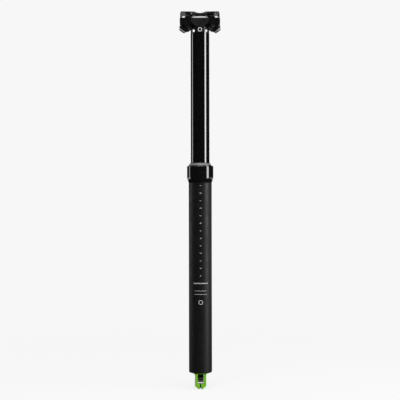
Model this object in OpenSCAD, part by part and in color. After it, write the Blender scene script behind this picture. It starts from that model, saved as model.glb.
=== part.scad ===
// Dropper seatpost with a two-bolt saddle clamp and a cable actuator at its foot.
// +Z runs up the post, X across the bicycle, and -Y is the face that carries the depth scale.
// The origin is on the post's axis at the lower edge of the collar, where the outer tube enters the frame.

/* [Outer tube] */
// Outside diameter of the outer tube
tube_od = 30.9; // [30.6:0.1:31.8]
// Wall of the outer tube
tube_wall = 1.5; // [1.4:0.05:1.6]
// Outside diameter of the thread neck inside the collar
neck_od = 29.6; // [29.4:0.1:30]
// Length of the thread neck inside the collar
neck_length = 17; // [16:0.5:17.5]
// Width of each of the keyways in the bore
keyway_width = 3.1; // [2.6:0.1:4]
// Depth of the keyways
keyway_depth = 0.7; // [0.5:0.05:0.8]

/* [Collar and seals] */
// How far the collar stands proud of the outer tube
collar_step = 2.15; // [1.7:0.05:3.5]
// Height of the collar up to its shoulder
collar_height = 22.6; // [22:0.2:26]
// Height of the curved taper at the collar's foot
taper_height = 8; // [5:0.5:12]
// Radius of the collar's shoulder
shoulder_radius = 1; // [0.8:0.2:2.2]
// Height of the chamfered lip above the shoulder
lip_height = 3.2; // [2.4:0.2:5]
// How far the wiper stands above the lip
wiper_rise = 1; // [0.6:0.2:2]

/* [Stanchion] */
// Outside diameter of the stanchion
stanchion_od = 25; // [24.6:0.1:25.3]
// Wall of the stanchion
stanchion_wall = 1.9; // [1.7:0.1:2.1]
// Travel of the post
travel = 170; // [125:5:200]
// Gap left between the post head and the wiper at full drop
drop_clearance = 3.9; // [3.5:0.1:15]
// Length of stanchion inside the outer tube at full height
overlap = 71; // [70:1:90]
// Number of guide keys
key_count = 3; // [2:1:4]
// Length of the guide keys
key_length = 18; // [12:1:20]

/* [Post head] */
// Height of the tilt axis above the stanchion
tilt_height = 10.2; // [10:0.1:11.5]
// Largest tilt of the saddle clamp either way, in degrees
tilt_range = 10; // [4:1:11]
// Height of the head's T-shaped centre above the tilt axis
centre_height = 9.6; // [9.2:0.1:10.2]
// Half width of the head's centre
centre_half = 12.4; // [11.8:0.1:12.8]
// Half width of the spine below the centre
spine_half = 5.8; // [5:0.1:6.2]
// Radius of the arms next to the centre
arm_root_radius = 6.2; // [5.6:0.1:7]
// Largest radius of the arms, at the bolt bosses
arm_boss_radius = 8.6; // [8.2:0.1:8.8]
// Width of the windows beside the spine
window_width = 2.8; // [2:0.1:3.4]

/* [Saddle clamp] */
// Diameter of the saddle rails
rail_d = 7; // [6.6:0.1:7.2]
// Spacing of the saddle rails
rail_spacing = 44; // [43.4:0.1:44.6]
// Height of the rails above the tilt axis
rail_height = 11.8; // [11.4:0.1:12.6]
// Length of rail that the clamp holds
clamp_length = 34; // [30:1:40]
// Gap between the upper and lower jaws at the rails
jaw_gap = 1.2; // [0.8:0.1:1.6]
// Metal over the rails
clamp_cover = 3; // [2.6:0.1:3.6]
// Thread diameter of the clamp bolts
bolt_d = 6; // [5:0.5:6]
// Lean of the clamp bolts from upright, in degrees
bolt_lean = 35; // [34:0.5:36]
// Distance of each bolt from the post's axis at the tilt axis
bolt_offset = 19; // [18.7:0.1:19.3]
// Diameter of the saddle washers under the bolt heads
washer_d = 12.6; // [12:0.1:13]

/* [Cartridge] */
// Diameter of the cartridge rod
rod_d = 8; // [7:0.5:9]
// Bore of the cartridge cylinder
cylinder_bore = 17; // [16.4:0.2:17.4]
// Wall of the cartridge cylinder
cylinder_wall = 1; // [0.8:0.1:1.4]
// Diameter of the valve pin
valve_pin_d = 2.8; // [2:0.2:3.2]

/* [Actuator] */
// Gap between the legs of the cable yoke
yoke_gap = 7.8; // [7:0.2:8.4]
// Thickness of each yoke leg
leg_thickness = 3.7; // [3.2:0.1:4]
// Distance of the cable from the post's axis
cable_offset = 9.5; // [9:0.1:9.6]
// Bore of the seat for the cable housing
housing_bore = 4.8; // [4.2:0.1:5]
// Depth of the seat for the cable housing
housing_depth = 5; // [4:0.5:5.5]
// Diameter of the lever's pivot pin
pivot_d = 3; // [2.5:0.1:3.4]
// Diameter of the cable barrel
barrel_d = 6; // [5.4:0.2:6.2]

/* [Fits] */
// Radial clearance of sliding and turning fits
fit = 0.05; // [0.03:0.01:0.08]
// Gap between pieces that are assembled tight
seat_gap = 0.02; // [0.01:0.01:0.04]
// Air between moving pieces that must not touch
air = 0.4; // [0.3:0.05:0.5]

/* [Hidden] */
$fn = 64;
arc_steps = 16;
tube_r = tube_od / 2;
tube_ir = tube_r - tube_wall;
stanchion_r = stanchion_od / 2;
stanchion_ir = stanchion_r - stanchion_wall;
cylinder_ir = cylinder_bore / 2;
cylinder_r = cylinder_ir + cylinder_wall;
rod_r = rod_d / 2;

foot_room = 9.5;
plug_spigot = 5.5;
plug_flange = 3.5;
plug_round = 1.3;
pocket_depth = 3;
tube_bottom = -(overlap + travel + foot_room);
plug_top = tube_bottom + plug_spigot;
plug_bottom = tube_bottom - plug_flange;
pocket_top = plug_bottom + pocket_depth;

lip_top = collar_height + lip_height;
post_bottom = -overlap;
post_top = lip_top + wiper_rise + travel + drop_clearance;
tilt_z = post_top + tilt_height;
rail_z = tilt_z + rail_height;
rail_x = rail_spacing / 2;
rail_r = rail_d / 2;

bushing_bottom = -4;
clip_height = 1.2;
clip_bottom = neck_length - 3.8;
clip_groove = 0.4;
foam_height = 1.6;
flange_height = 1;
wiper_seat = neck_length + foam_height + flange_height;
wiper_r = stanchion_r + 1.2;
lip_foot_r = tube_r - 0.2;
lip_wall = 0.8;
lip_edge = 0.1;
collar_r = tube_r + collar_step;
taper_radius = (taper_height * taper_height + collar_step * collar_step) / (2 * collar_step);

key_bottom = post_bottom + 6;
key_sink = 0.9;
key_outer = tube_ir + keyway_depth - 0.15;
keyway_top = bushing_bottom - 6;
glide_bottom = post_bottom + 30;
glide_length = 14;
glide_sink = 0.4;

spigot_length = 18;
spigot_bottom = post_top - spigot_length;
pad_height = 2;
cylinder_top = spigot_bottom - pad_height;
cap_height = 8;
cap_bottom = cylinder_top - cap_height;
nut_height = 5;
cylinder_bottom = post_bottom + nut_height;
gland_height = 10;
bumper_height = 3;
bumper_top = cylinder_bottom + gland_height + bumper_height;
piston_bottom = bumper_top + 0.3;
piston_height = 10;
piston_top = piston_bottom + piston_height;
rod_top = piston_top - 3;
rod_bore_r = valve_pin_d / 2 + 0.2;
piston_seal_depth = 1.4;
seal_groove = 2;
piston_groove = 4;
float_height = 7;
float_groove = 2.4;
float_drive = travel * rod_r * rod_r / (cylinder_ir * cylinder_ir);
float_bottom = piston_top + travel + 2.6 - float_drive;
rod_nut_height = 4;

neck_r = stanchion_r - 0.2;
neck_straight = tilt_height - 3.4;
neck_bevel = 2.6;
rim = 0.8;
centre_depth = 9;
flare_low = -2.4;
flare_high = 3.6;
bolt_r = bolt_d / 2;
bolt_tan = tan(bolt_lean);
seat_depth = 5.3;
apex_x = bolt_offset + seat_depth / sin(bolt_lean);
boss_x = apex_x - arm_boss_radius / bolt_tan;
tip_radius = 2.6;
tip_x = apex_x - tip_radius / bolt_tan;
washer_thickness = 1.2;
washer_wrap = 1.2;
head_start = seat_depth + washer_thickness;
head_height = 3.2;
bolt_head_d = bolt_d + 4;
bolt_reach = 22.4;
bush_d = bolt_d + 2;
bush_length = 5;
bush_stand = 3.2;
boss_d = bush_d + 2.4;
bush_start = (centre_height + air + sin(bolt_lean) * boss_d / 2) / cos(bolt_lean);
bush_end = bush_start + bush_length;
centre_swing = centre_height * sin(tilt_range) + 0.2;
arm_swing = arm_boss_radius * sin(tilt_range) + 0.2;
slot_width = bolt_d + 0.6;

jaw_top = rail_height - jaw_gap / 2;
jaw_bottom = rail_height + jaw_gap / 2;
crown_height = rail_height + rail_r + clamp_cover;
crown_radius = 80;
plan_round = 3;
clamp_x = rail_x + rail_r + 0.8;
skirt_x = clamp_x + 0.6;
skirt_bottom = 0.4;
web_bottom = centre_height + 4.6;
web_top = web_bottom + 2.3;
web_half = 5.6;
waist_half = 13.6;
waist_radius = 5;
cradle_x = centre_half + air;

flange_r = 11.6;
yoke_top = plug_bottom - 1;
lever_width = yoke_gap - 0.2;
pivot_y = -4;
pivot_z = plug_bottom - 6.2;
nose_y = 1.5;
nose_z = plug_bottom - 2.8;
nose_r = 2;
button_bottom = nose_z + nose_r + 0.1;
button_height = 1.4;
button_r = 2.5;
barrel_z = plug_bottom - 8.7;
barrel_r = barrel_d / 2;
bridge_top = barrel_z - barrel_r - 2.3;
bridge_height = 7.1;
bridge_bottom = bridge_top - bridge_height;
bridge_front = -(cable_offset + 3.7);
bridge_back = -(cable_offset - 3.7);
yoke_half = yoke_gap / 2 + leg_thickness;
yoke_clear_r = tube_r - 0.35;
slit_width = 1.6;
screw_x = 6.1;
screw_y = 4.2;
screw_head_r = 1.9;
screw_r = 1.25;
nose_width = 4;
nose_hole_r = 4.5;

black = "#1c1c1e";
gloss_black = "#111113";
rubber = "#141414";
steel = "#b9bcc0";
alloy = "#c9ccd0";
brass = "#b08d3c";
polymer = "#3a3c40";
green = "#5ea51f";

// A ring about the post's axis.
module ring(outer, inner, bottom, top) {
    translate([0, 0, bottom])
    difference() {
        cylinder(r = outer, h = top - bottom);
        translate([0, 0, -1])
        cylinder(r = inner, h = top - bottom + 2);
    }
}

// A round-section ring about the post's axis.
module torus(middle, section, height) {
    translate([0, 0, height])
    rotate_extrude()
    translate([middle, 0])
    circle(r = section);
}

// What a rounded convex corner at the origin loses, drawn for a corner that points to +X +Y.
module corner_loss(radius) {
    translate([-radius, -radius])
    difference() {
        square(radius + 1);
        circle(r = radius);
    }
}

// Points along an arc.
function arc(centre, radius, from, to) =
    [for (i = [0 : arc_steps])
        let (a = from + (to - from) * i / arc_steps) centre + radius * [cos(a), sin(a)]];

// A flat link between two round ends, closed with their outer tangents.
module link(a, ra, b, rb) {
    heading = atan2(b[1] - a[1], b[0] - a[0]);
    spread = acos((ra - rb) / norm(b - a));
    polygon(concat(arc(a, ra, heading + spread, heading + 360 - spread),
                   arc(b, rb, heading - spread, heading + spread)));
}

// Stands a drawing of X and height upright, centred on Y.
module across(depth) {
    rotate([90, 0, 0])
    linear_extrude(depth, center = true)
    children();
}

// Stands a drawing of Y and height upright, centred on X.
module along_x(width) {
    rotate([90, 0, 90])
    linear_extrude(width, center = true)
    children();
}

// Turns a drawing of X and radius about the tilt axis.
module about_tilt() {
    translate([0, 0, tilt_z])
    rotate([0, 90, 0])
    rotate_extrude()
    rotate(90)
    mirror([0, 1])
    children();
}

// Puts children on the bolt line of one side: Z runs up the bolt and 0 is at the tilt axis.
module on_bolt(side) {
    translate([side * bolt_offset, 0, tilt_z])
    rotate([0, -side * bolt_lean, 0])
    children();
}

module both() {
    for (side = [-1, 1])
        on_bolt(side)
        children();
}

module outer_tube() {
    color(black)
    difference() {
        union() {
            translate([0, 0, tube_bottom])
            cylinder(r = tube_r, h = -tube_bottom);
            cylinder(d = neck_od, h = neck_length);
        }
        translate([0, 0, tube_bottom - 1])
        cylinder(r = tube_ir, h = neck_length - tube_bottom + 2);
        translate([0, 0, clip_bottom])
        cylinder(r = tube_ir + clip_groove, h = clip_height);
        for (i = [0 : key_count - 1])
            rotate(90 + i * 360 / key_count)
            translate([0, -keyway_width / 2, tube_bottom - 1])
            cube([tube_ir + keyway_depth, keyway_width, keyway_top - tube_bottom + 1]);
    }
}

module collar() {
    color(gloss_black)
    rotate_extrude()
    difference() {
        union() {
            translate([0, taper_height])
            square([collar_r, collar_height - taper_height]);
            intersection() {
                square([collar_r, taper_height]);
                translate([collar_r - taper_radius, taper_height])
                circle(r = taper_radius, $fn = 128);
            }
            translate([0, collar_height])
            polygon([[0, 0], [lip_foot_r, 0], [lip_foot_r, lip_wall],
                     [wiper_r + lip_edge, lip_height], [0, lip_height]]);
        }
        translate([collar_r, collar_height])
        corner_loss(shoulder_radius);
        translate([0, -1])
        square([neck_od / 2 + seat_gap, neck_length + foam_height + 1]);
        square([stanchion_r + 0.6, lip_top]);
        translate([0, wiper_seat])
        square([wiper_r, lip_top]);
    }
}

module wiper_seal() {
    color(rubber)
    rotate_extrude()
    polygon([[stanchion_r + 0.5, wiper_seat], [wiper_r - seat_gap, wiper_seat],
             [wiper_r - seat_gap, lip_top], [stanchion_r + 0.5, lip_top + wiper_rise],
             [stanchion_r + fit, lip_top + wiper_rise], [stanchion_r + fit, lip_top + wiper_rise - 0.6],
             [stanchion_r + 0.5, lip_top - 0.8]]);
}

module foam_ring() {
    color(polymer)
    ring(neck_od / 2 - 0.1, stanchion_r + fit, neck_length, neck_length + foam_height);
}

module upper_bushing() {
    color(polymer)
    ring(tube_ir - seat_gap, stanchion_r + fit, bushing_bottom, clip_bottom);
}

module bushing_clip() {
    color(steel)
    difference() {
        ring(tube_ir + clip_groove - seat_gap, stanchion_r + 0.5, clip_bottom, clip_bottom + clip_height);
        translate([0, -3, clip_bottom - 1])
        cube([tube_r, 6, clip_height + 2]);
    }
}

module base_plug() {
    color(black)
    difference() {
        rotate_extrude()
        difference() {
            union() {
                translate([0, plug_bottom])
                square([tube_r - fit, plug_flange]);
                translate([0, tube_bottom])
                square([tube_ir - seat_gap, plug_spigot]);
            }
            translate([tube_r - fit, plug_bottom])
            mirror([0, 1])
            corner_loss(plug_round);
            translate([0, plug_bottom - 1])
            square([flange_r + seat_gap, pocket_depth + 1]);
            translate([tube_ir - 1.9, tube_bottom + 2])
            square([2, 1.8]);
            translate([0, plug_bottom])
            square([rod_r + seat_gap, plug_top - plug_bottom + 1]);
        }
        for (side = [-1, 1])
            translate([side * screw_x, screw_y, pocket_top - 1])
            cylinder(r = screw_r + seat_gap, h = 5);
    }
}

module base_ring() {
    color(rubber)
    torus(tube_ir - 0.96, 0.88, tube_bottom + 2.9);
}

module cartridge_rod() {
    color(steel)
    ring(rod_r, rod_bore_r, pocket_top, rod_top);
}

module rod_nut() {
    color(steel)
    difference() {
        translate([0, 0, plug_top])
        cylinder(r = rod_r + 3.4, h = rod_nut_height, $fn = 6);
        translate([0, 0, plug_top - 1])
        cylinder(r = rod_r + seat_gap, h = rod_nut_height + 2);
    }
}

module main_piston() {
    color(alloy)
    translate([0, 0, piston_bottom])
    difference() {
        cylinder(r = cylinder_ir - fit, h = piston_height);
        translate([0, 0, -1])
        cylinder(r = rod_r + seat_gap, h = rod_top - piston_bottom + 1);
        cylinder(r = rod_bore_r, h = piston_height - 0.6);
        translate([0, 0, piston_groove])
        ring(cylinder_r, cylinder_ir - piston_seal_depth, 0, seal_groove);
    }
}

// The seal that fills a piston's groove.
module groove_seal(groove_bottom) {
    ring(cylinder_ir - fit / 2, cylinder_ir - piston_seal_depth + seat_gap,
         groove_bottom + fit, groove_bottom + seal_groove - fit);
}

module piston_seal() {
    color(rubber)
    groove_seal(piston_bottom + piston_groove);
}

module yoke_sides() {
    difference() {
        translate([bridge_front, bridge_bottom])
        square([1.2 - bridge_front, yoke_top - bridge_bottom]);
        translate([bridge_back + 9, bridge_bottom + 3.5])
        circle(r = 9);
        translate([bridge_back, bridge_bottom - 1])
        square([20, 4.5]);
    }
}

module yoke_face() {
    chamfer = 4.6;
    notch = 0.9;
    difference() {
        polygon([[-yoke_half, yoke_top], [-yoke_half, bridge_bottom + chamfer],
                 [-housing_bore / 2, bridge_bottom], [0, bridge_bottom + notch],
                 [housing_bore / 2, bridge_bottom], [yoke_half, bridge_bottom + chamfer],
                 [yoke_half, yoke_top]]);
        translate([-yoke_gap / 2, bridge_top])
        square([yoke_gap, yoke_top - bridge_top + 1]);
    }
}

module yoke_gussets() {
    for (side = [-1, 1])
        polygon([[side * (yoke_half - 1), yoke_top + 0.5], [side * (yoke_half + 1.6), yoke_top + 0.5],
                 [side * (yoke_half + 1.6), yoke_top], [side * yoke_half, yoke_top - 2.2],
                 [side * (yoke_half - 1), yoke_top - 2.2]]);
}

module cable_yoke() {
    color(green)
    difference() {
        union() {
            translate([0, 0, yoke_top])
            cylinder(r = flange_r, h = pocket_top - yoke_top - seat_gap);
            intersection() {
                along_x(2 * yoke_half)
                yoke_sides();
                translate([0, bridge_front / 2, 0])
                across(-2 * bridge_front)
                yoke_face();
                translate([0, 0, bridge_bottom - 1])
                cylinder(r = yoke_clear_r, h = yoke_top - bridge_bottom + 2);
            }
            intersection() {
                across(9)
                yoke_gussets();
                translate([0, 0, yoke_top - 4])
                cylinder(r = flange_r, h = 6);
            }
        }
        translate([0, 0, yoke_top - 1])
        cylinder(r = nose_hole_r, h = pocket_top - yoke_top + 2);
        translate([0, pivot_y, pivot_z])
        rotate([0, 90, 0])
        cylinder(d = pivot_d + 2 * seat_gap, h = 40, center = true);
        translate([0, -cable_offset, bridge_bottom - 1])
        cylinder(d = housing_bore, h = housing_depth + 1);
        translate([0, -cable_offset, bridge_bottom])
        cylinder(d = slit_width, h = bridge_height + 1);
        translate([-slit_width / 2, bridge_front - 2, bridge_bottom - 1])
        cube([slit_width, -cable_offset - bridge_front + 2, bridge_height + 2]);
        for (side = [-1, 1])
            translate([side * screw_x, screw_y, yoke_top]) {
                translate([0, 0, -1])
                cylinder(r = screw_r + seat_gap, h = 10);
                translate([0, 0, -1])
                cylinder(r = screw_head_r + seat_gap, h = 2.6);
            }
    }
}

module yoke_screws() {
    color(steel)
    for (side = [-1, 1])
        translate([side * screw_x, screw_y, yoke_top])
        difference() {
            union() {
                cylinder(r = screw_head_r, h = 1.6);
                cylinder(r = screw_r, h = 7);
            }
            translate([0, 0, -1])
            cylinder(r = 1.1, h = 2, $fn = 6);
        }
}

module lever_pin() {
    color(steel)
    translate([0, pivot_y, pivot_z])
    rotate([0, 90, 0])
    cylinder(d = pivot_d, h = 2 * yoke_half - 0.6, center = true);
}

module stanchion() {
    color(gloss_black)
    difference() {
        ring(stanchion_r, stanchion_ir, post_bottom, post_top);
        ring(stanchion_r + 1, stanchion_r - glide_sink, glide_bottom, glide_bottom + glide_length);
        for (i = [0 : key_count - 1])
            rotate(90 + i * 360 / key_count)
            translate([stanchion_r - key_sink - seat_gap, -keyway_width / 2 + fit, key_bottom])
            cube([3, keyway_width - 2 * fit, key_length]);
    }
}

module guide_keys() {
    color(brass)
    for (i = [0 : key_count - 1])
        rotate(90 + i * 360 / key_count)
        translate([stanchion_r - key_sink, -keyway_width / 2 + fit, key_bottom])
        cube([key_outer - stanchion_r + key_sink, keyway_width - 2 * fit, key_length]);
}

module lower_bushing() {
    color(polymer)
    difference() {
        ring(tube_ir - fit, stanchion_r - glide_sink + seat_gap, glide_bottom, glide_bottom + glide_length);
        translate([0, -0.8, glide_bottom - 1])
        cube([tube_r, 1.6, glide_length + 2]);
    }
}

// The T of the head from the front, above its spine.
module centre_outline() {
    for (side = [0, 1])
        mirror([side, 0])
        polygon([[0, flare_low], [spine_half, flare_low], [centre_half, flare_high],
                 [centre_half, centre_height - rim], [centre_half - rim, centre_height],
                 [0, centre_height]]);
}

// Half of the arms as X and radius: a flaring arm, then a cone square to the bolt.
module arm_outline(grow) {
    polygon([[0, 0], [0, arm_root_radius + grow], [centre_half, arm_root_radius + grow],
             [boss_x, arm_boss_radius + grow], [boss_x + grow, arm_boss_radius + grow],
             [tip_x + grow, tip_radius + grow], [tip_x + grow, 0]]);
}

module arms(grow) {
    for (side = [0, 1])
        mirror([side, 0, 0])
        about_tilt()
        arm_outline(grow);
}

// The slots that let the bolts swing with the clamp.
module bolt_slots(swing) {
    both()
    translate([0, 0, -30])
    linear_extrude(70) {
        square([slot_width, 2 * swing], center = true);
        for (end = [-1, 1])
            translate([0, end * swing])
            circle(d = slot_width);
    }
}

// The head from the side: its front and back lean in from the neck to the top of the centre.
module head_side() {
    head_top = tilt_z + centre_height;
    polygon([[-neck_r, post_top], [-neck_r, post_top + neck_straight], [-centre_depth, head_top],
             [centre_depth, head_top], [neck_r, post_top + neck_straight], [neck_r, post_top]]);
}

module post_head() {
    window_low = 1.8 - tilt_height;
    window_rise = 3.2;
    color(black)
    difference() {
        union() {
            translate([0, 0, spigot_bottom])
            cylinder(r = stanchion_ir - seat_gap, h = spigot_length);
            translate([0, 0, post_top])
            cylinder(r = neck_r, h = neck_straight);
            translate([0, 0, post_top + neck_straight])
            cylinder(r1 = neck_r, r2 = neck_r - neck_bevel, h = neck_bevel);
            intersection() {
                along_x(2 * centre_half)
                head_side();
                translate([0, 0, tilt_z])
                across(2 * neck_r)
                centre_outline();
            }
            intersection() {
                along_x(2 * spine_half)
                head_side();
                translate([0, 0, post_top])
                cylinder(r = neck_r, h = tilt_height + flare_low + 1);
            }
            arms(0);
        }
        bolt_slots(arm_swing);
        intersection() {
            bolt_slots(centre_swing);
            translate([0, 0, tilt_z])
            cube([2 * centre_half, 60, 60], center = true);
        }
        for (side = [-1, 1])
            translate([side * (spine_half + 1.1 + window_width / 2), 0, tilt_z])
            across(60) {
                translate([0, window_low])
                circle(d = window_width);
                translate([-window_width / 2, window_low])
                square([window_width, window_rise]);
                translate([0, window_low + window_rise])
                circle(d = window_width);
            }
        translate([0, -neck_r, post_top + 3.6])
        rotate([90, 0, 0])
        cylinder(d = 6, h = 1, center = true);
    }
}

module cartridge_cylinder() {
    color(alloy)
    ring(cylinder_r, cylinder_ir, cylinder_bottom, cylinder_top);
}

module cartridge_gland() {
    color(alloy)
    difference() {
        ring(cylinder_ir - seat_gap, rod_r + fit, cylinder_bottom, cylinder_bottom + gland_height);
        translate([0, 0, cylinder_bottom + 4])
        cylinder(r = rod_r + 1.6, h = 2.4);
    }
}

module rod_seal() {
    color(rubber)
    ring(rod_r + 1.6 - seat_gap, rod_r + fit, cylinder_bottom + 4, cylinder_bottom + 6.4);
}

module topout_bumper() {
    color(rubber)
    ring(cylinder_ir - 0.2, rod_r + 0.2, bumper_top - bumper_height, bumper_top);
}

module cylinder_cap() {
    color(alloy)
    difference() {
        translate([0, 0, cap_bottom])
        cylinder(r = cylinder_ir - seat_gap, h = cap_height);
        translate([0, 0, cylinder_top - 3])
        cylinder(r = 3, h = 4, $fn = 6);
    }
}

module top_pad() {
    color(rubber)
    ring(stanchion_ir - 0.2, 4, cylinder_top, spigot_bottom);
}

module cartridge_nut() {
    color(alloy)
    ring(stanchion_ir - seat_gap, rod_r + 4, post_bottom, cylinder_bottom);
}

// Half of the upper clamp from the front, mirrored: a thin web that swells into the wings.
module upper_outline() {
    wing_round = 5;
    jaw_inner = rail_x - 5.6;
    wing_inner = rail_x - 4.6;
    for (side = [0, 1])
        mirror([side, 0])
        difference() {
            polygon([[0, web_bottom], [8, web_bottom - 0.2], [waist_half, web_bottom - 1],
                     [jaw_inner, jaw_bottom], [clamp_x, jaw_bottom], [clamp_x, crown_height],
                     [wing_inner, crown_height], [6.5, web_top + 1], [2.5, web_top],
                     [0, web_top - 0.1]]);
            translate([clamp_x, crown_height])
            corner_loss(wing_round);
        }
}

// The jaws' four outer corners in plan, as what they lose.
module plan_corners(half_width) {
    for (x = [0, 1], y = [0, 1])
        mirror([x, 0])
        mirror([0, y])
        translate([half_width, clamp_length / 2])
        corner_loss(plan_round);
}

// What the clamp loses in front of its web, with rounded inner corners.
module waist_notch() {
    flat_half = waist_half - waist_radius;
    translate([-flat_half, web_half])
    square([2 * flat_half, clamp_length]);
    translate([-waist_half, web_half + waist_radius])
    square([2 * waist_half, clamp_length]);
    for (side = [-1, 1])
        translate([side * flat_half, web_half + waist_radius])
        circle(r = waist_radius);
}

module upper_plan() {
    difference() {
        square([2 * clamp_x, clamp_length], center = true);
        plan_corners(clamp_x);
        for (end = [0, 1])
            mirror([0, end])
            waist_notch();
    }
}

module crown_outline() {
    intersection() {
        translate([0, crown_height - crown_radius])
        circle(r = crown_radius, $fn = 180);
        translate([-clamp_length, 0])
        square([2 * clamp_length, crown_height]);
    }
}

module rails(grow) {
    for (side = [-1, 1])
        translate([side * rail_x, 0, rail_z])
        rotate([90, 0, 0])
        cylinder(r = rail_r + grow, h = clamp_length + 2, center = true);
}

module upper_clamp() {
    color(black)
    difference() {
        union() {
            intersection() {
                translate([0, 0, tilt_z])
                across(clamp_length)
                upper_outline();
                translate([0, 0, tilt_z])
                linear_extrude(crown_height + 1)
                upper_plan();
                translate([0, 0, tilt_z])
                along_x(2 * clamp_x)
                crown_outline();
            }
            both()
            translate([0, 0, bush_start + bush_stand])
            cylinder(d = boss_d, h = bush_end - bush_start - bush_stand - 0.8);
        }
        rails(0);
        both()
        translate([0, 0, bush_start - 12])
        cylinder(d = bush_d + 2 * seat_gap, h = 30);
    }
}

module cradle_outline() {
    difference() {
        polygon([[cradle_x, skirt_bottom], [skirt_x, skirt_bottom], [skirt_x, 7], [clamp_x, 8.6],
                 [clamp_x, jaw_top], [cradle_x, jaw_top]]);
        translate([skirt_x, skirt_bottom])
        mirror([0, 1])
        corner_loss(0.8);
    }
}

module cradle_side() {
    half = clamp_length / 2;
    polygon([[-half, jaw_top + 1], [-half, 8], [-half + 2, 5.6], [-9, skirt_bottom], [9, skirt_bottom],
             [half - 2, 5.6], [half, 8], [half, jaw_top + 1]]);
}

module cradle(side) {
    color(black)
    difference() {
        intersection() {
            translate([0, 0, tilt_z])
            across(clamp_length)
            mirror([side < 0 ? 1 : 0, 0])
            cradle_outline();
            translate([0, 0, tilt_z])
            along_x(4 * skirt_x)
            cradle_side();
            translate([0, 0, tilt_z])
            linear_extrude(crown_height)
            difference() {
                square([2 * skirt_x, clamp_length], center = true);
                plan_corners(skirt_x);
            }
        }
        arms(fit);
        rails(0);
        both()
        translate([0, 0, -30])
        cylinder(d = bolt_d + 0.6, h = 70);
    }
}

module left_cradle() {
    cradle(-1);
}

module right_cradle() {
    cradle(1);
}

module clamp_bolts() {
    color(steel)
    both()
    difference() {
        union() {
            translate([0, 0, -head_start])
            cylinder(d = bolt_d, h = head_start + bolt_reach);
            translate([0, 0, -head_start - head_height])
            cylinder(d = bolt_head_d, h = head_height);
        }
        translate([0, 0, -head_start - head_height - 1])
        cylinder(d = 5.6, h = 2.8, $fn = 6);
    }
}

module clamp_washers() {
    color(steel)
    difference() {
        both()
        translate([0, 0, -head_start])
        difference() {
            cylinder(d = washer_d, h = washer_thickness + washer_wrap);
            translate([0, 0, -1])
            cylinder(d = bolt_d + 0.4, h = 10);
        }
        arms(fit);
    }
}

module thread_bushes() {
    color(steel)
    both()
    translate([0, 0, bush_start])
    difference() {
        cylinder(d = bush_d, h = bush_end - bush_start);
        translate([0, 0, -1])
        cylinder(d = bolt_d + 2 * seat_gap, h = 10);
    }
}

module actuator_lever() {
    boss_r = pivot_d / 2 + 1.6;
    color(black)
    difference() {
        union() {
            along_x(nose_width)
            link([nose_y, nose_z], nose_r, [pivot_y, pivot_z], boss_r);
            along_x(lever_width) {
                link([pivot_y, pivot_z], boss_r, [-cable_offset, barrel_z], barrel_r + 1);
                link([pivot_y, nose_z], 1.2, [-cable_offset, nose_z - 1.6], 1.2);
                translate([-cable_offset - 1, barrel_z])
                square([cable_offset + pivot_y + 1, nose_z - barrel_z - 1.8]);
            }
        }
        translate([0, -cable_offset, barrel_z])
        rotate([0, 90, 0])
        cylinder(r = barrel_r + fit, h = 20, center = true);
        translate([0, pivot_y, pivot_z])
        rotate([0, 90, 0])
        cylinder(d = pivot_d + 2 * fit, h = 20, center = true);
        translate([-10, -cable_offset - 10, barrel_z - 10])
        cube([20, 11.2, 10]);
        translate([-slit_width / 2, -cable_offset - 10, barrel_z - 10])
        cube([slit_width, 11.2, 12]);
    }
}

module cable_barrel() {
    color(steel)
    translate([0, -cable_offset, barrel_z])
    difference() {
        rotate([0, 90, 0])
        cylinder(r = barrel_r, h = lever_width - 0.4, center = true);
        cylinder(d = slit_width, h = 10, center = true);
        translate([0, -5, 0])
        rotate([90, 0, 0])
        cylinder(r = screw_r + seat_gap, h = 10, center = true);
    }
}

module cable_grub_screw() {
    color(steel)
    translate([0, -cable_offset - slit_width / 2, barrel_z])
    rotate([90, 0, 0])
    difference() {
        cylinder(r = screw_r, h = barrel_r - slit_width / 2 - 0.2);
        translate([0, 0, 1])
        cylinder(r = 0.7, h = 5, $fn = 6);
    }
}

module valve_pin() {
    color(steel)
    union() {
        translate([0, 0, button_bottom])
        cylinder(r = button_r, h = button_height);
        translate([0, 0, button_bottom])
        cylinder(d = valve_pin_d, h = rod_top - 1.4 - button_bottom);
    }
}

module floating_piston() {
    color(alloy)
    translate([0, 0, float_bottom])
    difference() {
        cylinder(r = cylinder_ir - fit, h = float_height);
        translate([0, 0, 3])
        cylinder(r = cylinder_ir - 3, h = float_height);
        translate([0, 0, float_groove])
        ring(cylinder_r, cylinder_ir - piston_seal_depth, 0, seal_groove);
    }
}

module floating_seal() {
    color(rubber)
    groove_seal(float_bottom + float_groove);
}

outer_tube();
collar();
wiper_seal();
foam_ring();
upper_bushing();
bushing_clip();
base_plug();
base_ring();
cartridge_rod();
rod_nut();
main_piston();
piston_seal();
cable_yoke();
yoke_screws();
lever_pin();
stanchion();
post_head();
lower_bushing();
guide_keys();
cartridge_cylinder();
cartridge_gland();
rod_seal();
topout_bumper();
cylinder_cap();
top_pad();
cartridge_nut();
upper_clamp();
left_cradle();
right_cradle();
clamp_bolts();
clamp_washers();
thread_bushes();
actuator_lever();
cable_barrel();
cable_grub_screw();
valve_pin();
floating_piston();
floating_seal();
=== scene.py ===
import math

import bmesh
import bpy
from mathutils import Matrix, Vector


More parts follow.
